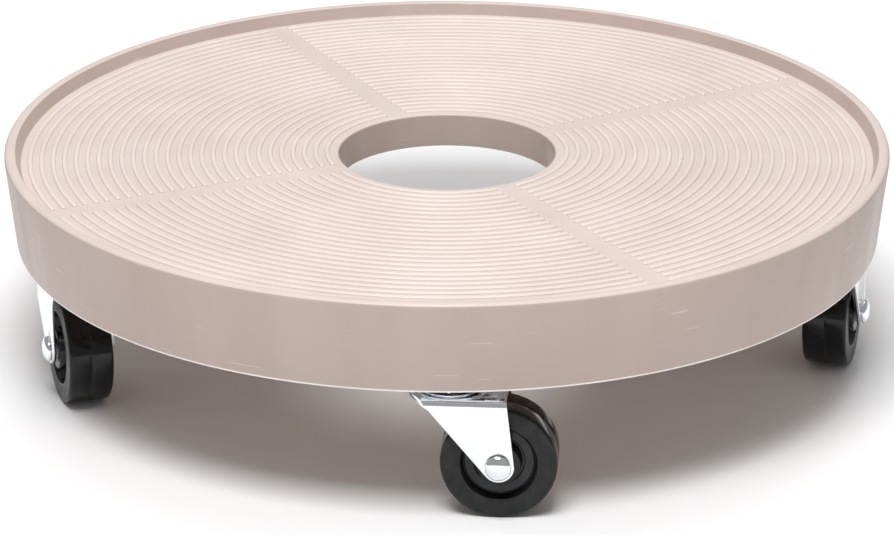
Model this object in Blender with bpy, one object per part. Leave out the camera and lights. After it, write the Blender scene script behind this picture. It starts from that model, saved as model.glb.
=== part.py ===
"""Round plant pot caddy: a moulded resin disc on five swivelling plate casters.

Units are metres and +Z is up. The origin is on the floor below the middle of the disc. Each caster
has two empties: one at its seat, turned to the disc's radius, which carries the fixed pieces, and one
on its kingpin's axis, turned to where the caster points, which carries the pieces that swivel.
"""

import math

import bmesh
import bpy
from mathutils import Matrix, Vector

# ---- Clearances -------------------------------------------------------------------------------
SEAT_GAP = 0.0003            # between faces that bear on each other
HOLE_GAP = 0.0003            # radial, around a pin or a screw in its hole

# ---- Wheel ------------------------------------------------------------------------------------
WHEEL_DIAMETER = 0.0508
WHEEL_WIDTH = 0.0205
TREAD_SHOULDER = 0.0025
FACE_STEP_RADIUS = 0.0162    # where the flat annulus of the face drops into the web
WEB_DEPTH = 0.0045           # how far the web lies behind the face
HUB_RADIUS = 0.0098
HUB_PROUD = 0.0010           # how far the hub stands out from the face
WHEEL_STEPS = 24

# ---- Axle and bushing -------------------------------------------------------------------------
AXLE_DIAMETER = 0.0060
AXLE_HEAD_RADIUS = 0.0057
AXLE_HEAD_HEIGHT = 0.0028
AXLE_TAIL_RADIUS = 0.0046    # the end that is spread over on the far leg
AXLE_TAIL_HEIGHT = 0.0018
BUSHING_WALL = 0.0012

# ---- Fork -------------------------------------------------------------------------------------
TRAIL = 0.0213               # from the kingpin's axis to the axle, seen from above
STEEL = 0.0020               # thickness of the pressed sheet
BEND_RADIUS = 0.0036         # outside of the bends between crown and legs
HUB_TO_LEG = 0.0011          # running space on each side of the wheel's hub
TREAD_TO_CROWN = 0.0036      # space between the tread and the crown's underside
CROWN_RADIUS = 0.0180        # rounded end of the crown, about the kingpin
CROWN_OVERHANG = 0.0027      # how far the crown runs on past the axle
LEG_TIP_RADIUS = 0.0068
LEG_SHOULDER_X = -0.0089     # where the slanted edge of a leg turns out towards the crown
LEG_SHOULDER_DROP = 0.0050   # and how far that lies below the top of the crown

# ---- Raceway, kingpin and mounting plate --------------------------------------------------------
RACE_HEIGHT = 0.0052
RACE_INNER_RADIUS = 0.0085
RACE_OUTER_RADIUS = 0.0145
RACE_WAIST = 0.0012          # depth of the groove around the raceway
KINGPIN_RADIUS = 0.0040
KINGPIN_HEAD_RADIUS = 0.0070
KINGPIN_HEAD_HEIGHT = 0.0014
PLATE_DEPTH = 0.0330         # along the disc's radius
PLATE_LENGTH = 0.0500        # across the disc's radius
PLATE_CORNER = 0.0045
SCREW_SPACING_DEPTH = 0.0220
SCREW_SPACING_LENGTH = 0.0370
SCREW_RADIUS = 0.0019
SCREW_LENGTH = 0.0130
SCREW_HEAD_RADIUS = 0.0038
SCREW_HEAD_HEIGHT = 0.0021

# ---- Disc -------------------------------------------------------------------------------------
DISC_DIAMETER = 0.4064
DISC_HEIGHT = 0.0420         # from the skirt's lower edge to the top of the lip
SKIRT_WALL = 0.0026
SKIRT_TAPER = 0.0045         # the skirt's lower edge is this much nearer the middle
LIP_HEIGHT = 0.0059          # of the lip above the tray
LIP_WIDTH = 0.0052           # at the top, with both its edges
LIP_OUTER_EDGE = 0.0022
LIP_INNER_EDGE = 0.0010
LIP_DRAFT = 0.0020           # the lip's inside leans outwards by this much
TRAY_THICKNESS = 0.0035
HOLE_DIAMETER = 0.0996
HOLE_EDGE = 0.0010
COLLAR_WALL = 0.0030
COLLAR_HEIGHT = 0.0158       # from the tray's top to the collar's lower edge
SKIRT_BELOW_SEAT = 0.0016    # the skirt reaches this much below the caster seats
PLATE_TO_SKIRT = 0.0010      # from a plate's outer corners to the skirt
SEAT_WALL = 0.0026
BOSS_WALL = 0.0024
PILOT_EXTRA_DEPTH = 0.0020
RIB_THICKNESS = 0.0026
RIB_DROP = 0.0150            # of the radial ribs below the tray's underside
RING_RIB_RADIUS = 0.1080
RING_RIB_DROP = 0.0110
RIB_ROOT = 0.0015            # how far ribs reach into the walls that they grow from
DISC_STEPS = 60
ROUND_STEPS = 14
SMALL_ROUND_STEPS = 8

# ---- Caster places --------------------------------------------------------------------------------
FRONT_ANGLE = -89.5          # degrees around the disc
FRONT_SPACING = 79.0         # degrees from the front caster to each of its neighbours
REAR_SPACING = (360.0 - 2 * FRONT_SPACING) / 3
# Name, degrees around the disc, and the compass direction in which the caster happens to point.
CASTERS = (
    ("front", FRONT_ANGLE, -3.7),
    ("right", FRONT_ANGLE + FRONT_SPACING, 76.5),
    ("rear_right", FRONT_ANGLE + FRONT_SPACING + REAR_SPACING, -75.0),
    ("rear_left", FRONT_ANGLE - FRONT_SPACING - REAR_SPACING, -130.0),
    ("left", FRONT_ANGLE - FRONT_SPACING, -73.1),
)

# ---- Worked out from the sizes above --------------------------------------------------------------
WHEEL_RADIUS = WHEEL_DIAMETER / 2
HUB_WIDTH = WHEEL_WIDTH + 2 * HUB_PROUD
AXLE_RADIUS = AXLE_DIAMETER / 2
BUSHING_INNER = AXLE_RADIUS + HOLE_GAP
BUSHING_OUTER = BUSHING_INNER + BUSHING_WALL
FORK_INNER = HUB_WIDTH / 2 + HUB_TO_LEG
FORK_OUTER = FORK_INNER + STEEL
CROWN_BOTTOM = WHEEL_DIAMETER + TREAD_TO_CROWN
CROWN_TOP = CROWN_BOTTOM + STEEL
CROWN_END = TRAIL + CROWN_OVERHANG
RACE_BOTTOM = CROWN_TOP + SEAT_GAP
PLATE_BOTTOM = RACE_BOTTOM + RACE_HEIGHT + SEAT_GAP
PLATE_TOP = PLATE_BOTTOM + STEEL
SEAT_Z = PLATE_TOP + SEAT_GAP
SKIRT_BOTTOM = SEAT_Z - SKIRT_BELOW_SEAT
DISC_TOP = SKIRT_BOTTOM + DISC_HEIGHT
TRAY_TOP = DISC_TOP - LIP_HEIGHT
TRAY_BOTTOM = TRAY_TOP - TRAY_THICKNESS
COLLAR_BOTTOM = TRAY_TOP - COLLAR_HEIGHT
DISC_RADIUS = DISC_DIAMETER / 2
HOLE_RADIUS = HOLE_DIAMETER / 2
SKIRT_LOW_OUTER = DISC_RADIUS - SKIRT_TAPER
SKIRT_LOW_INNER = SKIRT_LOW_OUTER - SKIRT_WALL
PLATE_CORNER_REACH = SKIRT_LOW_INNER - PLATE_TO_SKIRT
CASTER_RING = math.sqrt(PLATE_CORNER_REACH**2 - (PLATE_LENGTH / 2) ** 2) - PLATE_DEPTH / 2
PILOT_RADIUS = SCREW_RADIUS + HOLE_GAP
BOSS_RADIUS = PILOT_RADIUS + BOSS_WALL
CUT_OVERRUN = 0.0050         # how far a cutter runs on past what it cuts


def clear_scene():
    for thing in list(bpy.data.objects):
        bpy.data.objects.remove(thing, do_unlink=True)


def make_material(name, colour, roughness, metallic):
    material = bpy.data.materials.new(name)
    material.use_nodes = True
    shader = material.node_tree.nodes["Principled BSDF"]
    shader.inputs["Base Color"].default_value = (*colour, 1.0)
    shader.inputs["Roughness"].default_value = roughness
    shader.inputs["Metallic"].default_value = metallic
    material.diffuse_color = (*colour, 1.0)
    return material


def new_object(name, mesh):
    thing = bpy.data.objects.new(name, mesh)
    bpy.context.scene.collection.objects.link(thing)
    return thing


def mesh_from(name, bm):
    bmesh.ops.remove_doubles(bm, verts=bm.verts, dist=1e-7)
    bmesh.ops.recalc_face_normals(bm, faces=bm.faces)
    mesh = bpy.data.meshes.new(name)
    bm.to_mesh(mesh)
    bm.free()
    return mesh


def arc(centre, radius, start, end, steps):
    """Points on a circle from one angle to another, in degrees, with both ends."""
    points = []
    for index in range(steps + 1):
        angle = math.radians(start + (end - start) * index / steps)
        points.append((centre[0] + radius * math.cos(angle), centre[1] + radius * math.sin(angle)))
    return points


def prism(name, outline, low, high, frame=None):
    """A closed outline in a plane, pushed out from low to high along the plane's normal."""
    bm = bmesh.new()
    corners = [bm.verts.new((x, y, low)) for x, y in outline]
    face = bm.faces.new(corners)
    swept = bmesh.ops.extrude_face_region(bm, geom=[face])
    moved = [item for item in swept["geom"] if isinstance(item, bmesh.types.BMVert)]
    bmesh.ops.translate(bm, verts=moved, vec=(0.0, 0.0, high - low))
    if frame is not None:
        bmesh.ops.transform(bm, verts=bm.verts, matrix=frame)
    return mesh_from(name, bm)


def turned(name, profile, steps, radius_scale=1.0, phase=0.0):
    """A closed profile of (radius, height) points turned about Z."""
    bm = bmesh.new()
    rings = []
    for index in range(steps):
        angle = phase + math.tau * index / steps
        ring = []
        for radius, height in profile:
            reach = radius * radius_scale
            ring.append(bm.verts.new((reach * math.cos(angle), reach * math.sin(angle), height)))
        rings.append(ring)
    for index, ring in enumerate(rings):
        following = rings[(index + 1) % steps]
        for low in range(len(profile)):
            high = (low + 1) % len(profile)
            on_axis = [profile[low][0] == 0.0, profile[high][0] == 0.0]
            if all(on_axis):
                continue
            if on_axis[0]:
                bm.faces.new((ring[low], ring[high], following[high]))
            elif on_axis[1]:
                bm.faces.new((ring[low], ring[high], following[low]))
            else:
                bm.faces.new((ring[low], ring[high], following[high], following[low]))
    return mesh_from(name, bm)


def cylinder(name, radius, low, high, steps, frame=None):
    return prism(name, arc((0.0, 0.0), radius, 0.0, 360.0 - 360.0 / steps, steps - 1), low, high, frame)


def rounded_rectangle(depth, length, corner, steps=3):
    points = []
    for index, (sign_x, sign_y) in enumerate(((1, 1), (-1, 1), (-1, -1), (1, -1))):
        centre = (sign_x * (depth / 2 - corner), sign_y * (length / 2 - corner))
        points += arc(centre, corner, 90.0 * index, 90.0 * index + 90.0, steps)
    return points


def guide(name, mesh):
    """A tool body for a Boolean, which isn't part of the object."""
    thing = new_object(name, mesh)
    thing.hide_render = True
    thing.display_type = "WIRE"
    return thing


def boolean(target, operation, tools):
    """Combine a body with one tool body or, as a group, with several."""
    modifier = target.modifiers.new(operation.lower(), "BOOLEAN")
    modifier.operation = operation
    modifier.solver = "EXACT"
    if len(tools) == 1:
        modifier.object = tools[0]
        return
    group = bpy.data.collections.new(f"{target.name}_{operation.lower()}")
    bpy.context.scene.collection.children.link(group)
    for tool in tools:
        group.objects.link(tool)
    modifier.operand_type = "COLLECTION"
    modifier.collection = group


def finished_mesh(name, thing):
    """The mesh that an object's modifiers give, for pieces that are copied."""
    graph = bpy.context.evaluated_depsgraph_get()
    mesh = bpy.data.meshes.new_from_object(thing.evaluated_get(graph))
    mesh.name = name
    bpy.data.objects.remove(thing, do_unlink=True)
    return mesh


def drop(tools):
    for tool in tools:
        bpy.data.objects.remove(tool, do_unlink=True)


# Turns a body that was made about Z so that it lies about Y.
ALONG_Y = Matrix.Rotation(math.radians(-90.0), 4, "X")


# ---- Caster pieces ------------------------------------------------------------------------------
def wheel_mesh():
    """The wheel about its own axis, Z, with flats on the true tread circle."""
    half = WHEEL_WIDTH / 2
    web = half - WEB_DEPTH
    hub = HUB_WIDTH / 2
    bore = BUSHING_OUTER + HOLE_GAP
    shoulder = arc((WHEEL_RADIUS - TREAD_SHOULDER, half - TREAD_SHOULDER), TREAD_SHOULDER, 0.0, 90.0, 1)
    upper = shoulder + [(FACE_STEP_RADIUS, half), (FACE_STEP_RADIUS, web), (HUB_RADIUS, web), (HUB_RADIUS, hub),
                        (bore, hub)]
    lower = [(radius, -height) for radius, height in reversed(upper)]
    return turned("wheel", upper + lower, WHEEL_STEPS, 1.0 / math.cos(math.pi / WHEEL_STEPS), math.pi / WHEEL_STEPS)


def bushing_mesh():
    half = FORK_INNER - SEAT_GAP
    profile = [(BUSHING_OUTER, half), (BUSHING_INNER, half), (BUSHING_INNER, -half), (BUSHING_OUTER, -half)]
    return turned("bushing", profile, ROUND_STEPS)


def axle_mesh():
    """The rivet about its own axis, Z, with its domed head at the high end."""
    seat = FORK_OUTER + SEAT_GAP
    head_top = seat + AXLE_HEAD_HEIGHT
    tail_end = -seat - AXLE_TAIL_HEIGHT
    profile = [
        (0.0, head_top),
        (AXLE_HEAD_RADIUS * 0.55, head_top - AXLE_HEAD_HEIGHT * 0.18),
        (AXLE_HEAD_RADIUS * 0.87, head_top - AXLE_HEAD_HEIGHT * 0.55),
        (AXLE_HEAD_RADIUS, seat),
        (AXLE_RADIUS, seat),
        (AXLE_RADIUS, -seat),
        (AXLE_TAIL_RADIUS, -seat),
        (AXLE_TAIL_RADIUS * 0.72, tail_end),
        (0.0, tail_end),
    ]
    return turned("axle", profile, ROUND_STEPS)


def tangent_angle(point, centre, radius, side):
    """The angle, in degrees, at which a line from a point touches a circle. Side is 1 or -1."""
    away = Vector(point) - Vector(centre)
    return math.degrees(math.atan2(away.y, away.x) + side * math.acos(radius / away.length))


def fork_mesh():
    """A channel of bent sheet, cut to the side view of the legs and the plan view of the crown."""
    inner_bend = BEND_RADIUS - STEEL
    low = WHEEL_RADIUS - LEG_TIP_RADIUS - CUT_OVERRUN
    outer = arc((FORK_OUTER - BEND_RADIUS, CROWN_TOP - BEND_RADIUS), BEND_RADIUS, 0.0, 90.0, 4)
    inner = arc((FORK_OUTER - BEND_RADIUS, CROWN_TOP - BEND_RADIUS), inner_bend, 90.0, 0.0, 3)
    right = [(FORK_OUTER, low)] + outer
    right_inside = inner + [(FORK_INNER, low)]
    left = [(-y, z) for y, z in reversed(right)]
    left_inside = [(-y, z) for y, z in reversed(right_inside)]
    section = right + left + left_inside + right_inside
    # The section lies in the plane across the channel: its first axis is Y and its second is Z.
    across = Matrix(((0, 0, 1, 0), (1, 0, 0, 0), (0, 1, 0, 0), (0, 0, 0, 1)))
    reach = CROWN_RADIUS + CUT_OVERRUN
    fork = new_object("fork_blank", prism("fork_blank", section, -reach, CROWN_END + CUT_OVERRUN, across))

    axle = (TRAIL, WHEEL_RADIUS)
    shoulder = (LEG_SHOULDER_X, CROWN_TOP - LEG_SHOULDER_DROP)
    rear_top = (CROWN_END, CROWN_TOP + CUT_OVERRUN)
    start = tangent_angle(shoulder, axle, LEG_TIP_RADIUS, 1)
    end = tangent_angle(rear_top, axle, LEG_TIP_RADIUS, -1) + 360.0
    flare = (-CROWN_RADIUS - CUT_OVERRUN, CROWN_BOTTOM - STEEL / 2)
    side = arc(axle, LEG_TIP_RADIUS, start, end, 7)
    side += [rear_top, (flare[0], rear_top[1]), flare, (-CROWN_RADIUS * 0.75, flare[1]), shoulder]
    # The side view lies in the plane along the channel: its first axis is X and its second is Z.
    along = Matrix(((1, 0, 0, 0), (0, 0, -1, 0), (0, 1, 0, 0), (0, 0, 0, 1)))
    side_reach = FORK_OUTER + CUT_OVERRUN
    side_cut = guide("leg_outline", prism("leg_outline", side, -side_reach, side_reach, along))

    plan = arc((0.0, 0.0), CROWN_RADIUS, 90.0, 270.0, 12)
    plan += [(CROWN_END + CUT_OVERRUN, -CROWN_RADIUS)]
    plan += [(CROWN_END + CUT_OVERRUN, CROWN_RADIUS)]
    plan_cut = guide("crown_outline", prism("crown_outline", plan, low - CUT_OVERRUN, CROWN_TOP + CUT_OVERRUN))

    pin_hole = guide("pin_hole", cylinder("pin_hole", KINGPIN_RADIUS + HOLE_GAP, CROWN_BOTTOM - CUT_OVERRUN,
                                          CROWN_TOP + CUT_OVERRUN, ROUND_STEPS))
    place = Matrix.Translation((TRAIL, 0.0, WHEEL_RADIUS)) @ ALONG_Y
    axle_hole = guide("axle_hole", cylinder("axle_hole", AXLE_RADIUS + HOLE_GAP, -side_reach, side_reach,
                                            ROUND_STEPS, place))
    boolean(fork, "INTERSECT", [side_cut])
    boolean(fork, "INTERSECT", [plan_cut])
    boolean(fork, "DIFFERENCE", [pin_hole])
    boolean(fork, "DIFFERENCE", [axle_hole])
    mesh = finished_mesh("fork", fork)
    drop([side_cut, plan_cut, pin_hole, axle_hole])
    return mesh


def race_mesh():
    """The ring of the ball raceway, waisted where the balls run."""
    top = RACE_BOTTOM + RACE_HEIGHT
    middle = (RACE_BOTTOM + top) / 2
    profile = [
        (RACE_OUTER_RADIUS, RACE_BOTTOM),
        (RACE_OUTER_RADIUS - RACE_WAIST, middle),
        (RACE_OUTER_RADIUS, top),
        (RACE_INNER_RADIUS, top),
        (RACE_INNER_RADIUS, RACE_BOTTOM),
    ]
    return turned("ball_ring", profile, ROUND_STEPS)


def kingpin_mesh():
    low_seat = CROWN_BOTTOM - SEAT_GAP
    high_seat = PLATE_TOP + SEAT_GAP
    profile = [
        (0.0, high_seat + KINGPIN_HEAD_HEIGHT),
        (KINGPIN_HEAD_RADIUS * 0.7, high_seat + KINGPIN_HEAD_HEIGHT),
        (KINGPIN_HEAD_RADIUS, high_seat),
        (KINGPIN_RADIUS, high_seat),
        (KINGPIN_RADIUS, low_seat),
        (KINGPIN_HEAD_RADIUS, low_seat),
        (KINGPIN_HEAD_RADIUS * 0.7, low_seat - KINGPIN_HEAD_HEIGHT),
        (0.0, low_seat - KINGPIN_HEAD_HEIGHT),
    ]
    return turned("kingpin", profile, ROUND_STEPS)


def screw_places():
    half_depth = SCREW_SPACING_DEPTH / 2
    half_length = SCREW_SPACING_LENGTH / 2
    return [(x, y) for x in (half_depth, -half_depth) for y in (half_length, -half_length)]


def screw_mesh():
    """A pan-head screw about Z, its head below the plate and its shank up into the boss."""
    seat = PLATE_BOTTOM - SEAT_GAP
    profile = [
        (0.0, seat + SCREW_LENGTH),
        (SCREW_RADIUS, seat + SCREW_LENGTH - SCREW_RADIUS),
        (SCREW_RADIUS, seat),
        (SCREW_HEAD_RADIUS, seat),
        (SCREW_HEAD_RADIUS, seat - SCREW_HEAD_HEIGHT * 0.5),
        (SCREW_HEAD_RADIUS * 0.65, seat - SCREW_HEAD_HEIGHT),
        (0.0, seat - SCREW_HEAD_HEIGHT),
    ]
    return turned("screw", profile, SMALL_ROUND_STEPS)


def plate_mesh():
    plate = new_object("plate_blank", prism("plate_blank", rounded_rectangle(PLATE_DEPTH, PLATE_LENGTH, PLATE_CORNER),
                                            PLATE_BOTTOM, PLATE_TOP))
    low = PLATE_BOTTOM - CUT_OVERRUN
    high = PLATE_TOP + CUT_OVERRUN
    holes = [guide("plate_pin_hole", cylinder("plate_pin_hole", KINGPIN_RADIUS + HOLE_GAP, low, high, ROUND_STEPS))]
    for index, (x, y) in enumerate(screw_places()):
        place = Matrix.Translation((x, y, 0.0))
        holes.append(guide(f"plate_hole_{index}", cylinder(f"plate_hole_{index}", PILOT_RADIUS, low, high,
                                                           SMALL_ROUND_STEPS, place)))
    boolean(plate, "DIFFERENCE", holes)
    mesh = finished_mesh("mount_plate", plate)
    drop(holes)
    return mesh


# ---- Disc -----------------------------------------------------------------------------------------
def disc_profile():
    """The disc's section: collar, tray, lip and skirt, as (radius, height) points."""
    lip_inner_top = DISC_RADIUS - LIP_WIDTH
    lip_inner_foot = lip_inner_top - LIP_DRAFT
    slope = SKIRT_TAPER / (DISC_HEIGHT - LIP_OUTER_EDGE)
    skirt_high_inner = SKIRT_LOW_INNER + slope * (TRAY_BOTTOM - SKIRT_BOTTOM)
    outer_edge = arc((DISC_RADIUS - LIP_OUTER_EDGE, DISC_TOP - LIP_OUTER_EDGE), LIP_OUTER_EDGE, 90.0, 0.0, 3)
    return [
        (HOLE_RADIUS, COLLAR_BOTTOM),
        (HOLE_RADIUS, TRAY_TOP - HOLE_EDGE),
        (HOLE_RADIUS + HOLE_EDGE, TRAY_TOP),
        (lip_inner_foot, TRAY_TOP),
        (lip_inner_top, DISC_TOP - LIP_INNER_EDGE),
        (lip_inner_top + LIP_INNER_EDGE, DISC_TOP),
        *outer_edge,
        (SKIRT_LOW_OUTER, SKIRT_BOTTOM),
        (SKIRT_LOW_INNER, SKIRT_BOTTOM),
        (skirt_high_inner, TRAY_BOTTOM),
        (HOLE_RADIUS + COLLAR_WALL, TRAY_BOTTOM),
        (HOLE_RADIUS + COLLAR_WALL, COLLAR_BOTTOM),
    ]


def caster_place(angle):
    """The frame of a caster seat: X along the disc's radius, the origin on the floor."""
    turn = math.radians(angle)
    centre = (CASTER_RING * math.cos(turn), CASTER_RING * math.sin(turn), 0.0)
    return Matrix.Translation(centre) @ Matrix.Rotation(turn, 4, "Z")


def seat_bodies(name, angle):
    """The walls and the screw bosses that one mounting plate is screwed up against."""
    place = caster_place(angle)
    root = TRAY_BOTTOM + RIB_ROOT
    half_depth = PLATE_DEPTH / 2
    half_length = PLATE_LENGTH / 2
    walls = (
        ((half_depth - SEAT_WALL / 2, 0.0), (SEAT_WALL, PLATE_LENGTH)),
        ((SEAT_WALL / 2 - half_depth, 0.0), (SEAT_WALL, PLATE_LENGTH)),
        ((0.0, half_length - SEAT_WALL / 2), (PLATE_DEPTH, SEAT_WALL)),
        ((0.0, SEAT_WALL / 2 - half_length), (PLATE_DEPTH, SEAT_WALL)),
    )
    bodies = []
    for index, ((x, y), (depth, length)) in enumerate(walls):
        outline = [(x + sx * depth / 2, y + sy * length / 2) for sx, sy in ((1, 1), (-1, 1), (-1, -1), (1, -1))]
        label = f"{name}_seat_wall_{index}"
        bodies.append(guide(label, prism(label, outline, SEAT_Z, root, place)))
    for index, (x, y) in enumerate(screw_places()):
        label = f"{name}_boss_{index}"
        frame = place @ Matrix.Translation((x, y, 0.0))
        bodies.append(guide(label, cylinder(label, BOSS_RADIUS, SEAT_Z, root, SMALL_ROUND_STEPS, frame)))
    return bodies


def pilot_holes(name, angle):
    place = caster_place(angle)
    end = PLATE_BOTTOM + SCREW_LENGTH + PILOT_EXTRA_DEPTH
    holes = []
    for index, (x, y) in enumerate(screw_places()):
        label = f"{name}_pilot_{index}"
        frame = place @ Matrix.Translation((x, y, 0.0))
        holes.append(guide(label, cylinder(label, PILOT_RADIUS, SEAT_Z - CUT_OVERRUN, end, SMALL_ROUND_STEPS, frame)))
    return holes


def radial_ribs():
    """Ribs from the collar to the skirt, one over each caster and one in each gap between them."""
    angles = sorted(angle % 360.0 for _, angle, _ in CASTERS)
    gaps = [(low + (high - low) / 2) for low, high in zip(angles, angles[1:] + [angles[0] + 360.0])]
    start = HOLE_RADIUS + COLLAR_WALL - RIB_ROOT
    end = SKIRT_LOW_INNER + RIB_ROOT
    half = RIB_THICKNESS / 2
    bodies = []
    for index, angle in enumerate(angles + gaps):
        label = f"radial_rib_{index}"
        outline = [(start, -half), (end, -half), (end, half), (start, half)]
        turn = Matrix.Rotation(math.radians(angle), 4, "Z")
        bodies.append(guide(label, prism(label, outline, TRAY_BOTTOM - RIB_DROP, TRAY_BOTTOM + RIB_ROOT, turn)))
    return bodies


def ring_rib():
    low = TRAY_BOTTOM - RING_RIB_DROP
    high = TRAY_BOTTOM + RIB_ROOT
    inner = RING_RIB_RADIUS - RIB_THICKNESS / 2
    outer = RING_RIB_RADIUS + RIB_THICKNESS / 2
    profile = [(inner, low), (outer, low), (outer, high), (inner, high)]
    return guide("ring_rib", turned("ring_rib", profile, DISC_STEPS))


def build_deck(material):
    deck = new_object("deck", turned("deck", disc_profile(), DISC_STEPS))
    added = radial_ribs() + [ring_rib()]
    cuts = []
    for name, angle, _ in CASTERS:
        added += seat_bodies(name, angle)
        cuts += pilot_holes(name, angle)
    boolean(deck, "UNION", added)
    boolean(deck, "DIFFERENCE", cuts)
    deck.data.materials.append(material)


# ---- Assembly -------------------------------------------------------------------------------------
def empty(name, frame):
    thing = bpy.data.objects.new(name, None)
    thing.matrix_world = frame
    bpy.context.scene.collection.objects.link(thing)
    return thing


def add_piece(name, mesh, parent, material, local=None):
    """One named piece under an empty, at a place in that empty's frame."""
    piece = new_object(name, mesh)
    piece.parent = parent
    if local is not None:
        piece.matrix_local = local
    if not mesh.materials:
        mesh.materials.append(material)
    return piece


def build_casters(steel, polymer, sleeve):
    meshes = {
        "mount_plate": (plate_mesh(), steel),
        "kingpin": (kingpin_mesh(), steel),
        "fork": (fork_mesh(), steel),
        "ball_ring": (race_mesh(), steel),
    }
    wheel = wheel_mesh()
    axle = axle_mesh()
    bushing = bushing_mesh()
    screw = screw_mesh()
    at_axle = Matrix.Translation((TRAIL, 0.0, WHEEL_RADIUS)) @ ALONG_Y
    # The axle's head is on the side to the caster's right as it trails.
    head_out = at_axle @ Matrix.Rotation(math.pi, 4, "X")
    for name, angle, heading in CASTERS:
        seat = empty(f"{name}_seat", caster_place(angle))
        centre = seat.matrix_world.to_translation()
        swivel_frame = Matrix.Translation(centre) @ Matrix.Rotation(math.radians(heading), 4, "Z")
        swivel = empty(f"{name}_swivel", swivel_frame)
        for piece, parent in (("mount_plate", seat), ("kingpin", seat), ("fork", swivel), ("ball_ring", swivel)):
            mesh, material = meshes[piece]
            add_piece(f"{name}_{piece}", mesh, parent, material)
        add_piece(f"{name}_wheel", wheel, swivel, polymer, at_axle)
        add_piece(f"{name}_bushing", bushing, swivel, sleeve, at_axle)
        add_piece(f"{name}_axle", axle, swivel, steel, head_out)
        for index, (x, y) in enumerate(screw_places(), start=1):
            add_piece(f"{name}_screw_{index}", screw, seat, steel, Matrix.Translation((x, y, 0.0)))


def main():
    clear_scene()
    resin = make_material("resin", (0.62, 0.49, 0.43), 0.55, 0.0)
    steel = make_material("zinc_steel", (0.78, 0.80, 0.82), 0.28, 1.0)
    polymer = make_material("black_polymer", (0.015, 0.015, 0.016), 0.25, 0.0)
    sleeve = make_material("sleeve_steel", (0.45, 0.45, 0.46), 0.40, 1.0)
    build_deck(resin)
    build_casters(steel, polymer, sleeve)


main()
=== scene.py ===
"""Looks of a round plant pot caddy: a ringed resin disc on swivelling plate casters.

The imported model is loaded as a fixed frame. Every visible piece is then modelled around it at its
real place, dressed in a procedural finish, and set to ride on the body that it belongs to.
"""

import logging
import math
from dataclasses import dataclass
from enum import Enum, IntEnum

import bpy
import numpy as np
from mathutils import Matrix, Vector


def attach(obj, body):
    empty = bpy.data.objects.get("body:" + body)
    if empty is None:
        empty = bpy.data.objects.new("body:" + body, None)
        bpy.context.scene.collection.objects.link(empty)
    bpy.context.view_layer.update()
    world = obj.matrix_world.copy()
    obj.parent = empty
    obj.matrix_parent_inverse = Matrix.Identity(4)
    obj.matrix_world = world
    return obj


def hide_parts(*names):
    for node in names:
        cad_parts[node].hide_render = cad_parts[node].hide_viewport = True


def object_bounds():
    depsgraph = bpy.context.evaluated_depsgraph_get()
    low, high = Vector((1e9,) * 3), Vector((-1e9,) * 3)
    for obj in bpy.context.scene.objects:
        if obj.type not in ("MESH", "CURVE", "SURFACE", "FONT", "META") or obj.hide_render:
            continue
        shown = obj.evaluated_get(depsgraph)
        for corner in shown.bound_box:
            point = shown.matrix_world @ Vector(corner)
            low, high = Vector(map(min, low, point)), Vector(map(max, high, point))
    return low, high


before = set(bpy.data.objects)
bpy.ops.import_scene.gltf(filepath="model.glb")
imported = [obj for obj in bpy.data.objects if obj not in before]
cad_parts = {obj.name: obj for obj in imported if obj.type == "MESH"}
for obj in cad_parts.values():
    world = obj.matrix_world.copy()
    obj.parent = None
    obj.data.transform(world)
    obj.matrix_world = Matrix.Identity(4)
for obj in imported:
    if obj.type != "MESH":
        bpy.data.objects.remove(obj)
CAD_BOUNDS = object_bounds()

LOG = logging.getLogger("caddy")
MM = 0.001
MERGE_FRESH = 1e-6
MERGE_FINISHED = 1e-5
Point = tuple[float, float, float]
Flat = tuple[float, float]
Thing = bpy.types.Object
Socket = bpy.types.NodeSocket
UP: Point = (0.0, 0.0, 1.0)
ALONG_Y = Matrix.Rotation(math.radians(-90.0), 4, "X")
CORNERS: tuple[tuple[int, int], ...] = ((1, 1), (-1, 1), (-1, -1), (1, -1))
BAND_ANGLES: list[float] = [30.0, 115.8, 205.0, 299.2]


# ---- Modelling bench -----------------------------------------------------------------------------
class Cut(Enum):
    """How one body is combined with another."""

    ADD = "UNION"
    TAKE = "DIFFERENCE"
    KEEP_SHARED = "INTERSECT"


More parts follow.
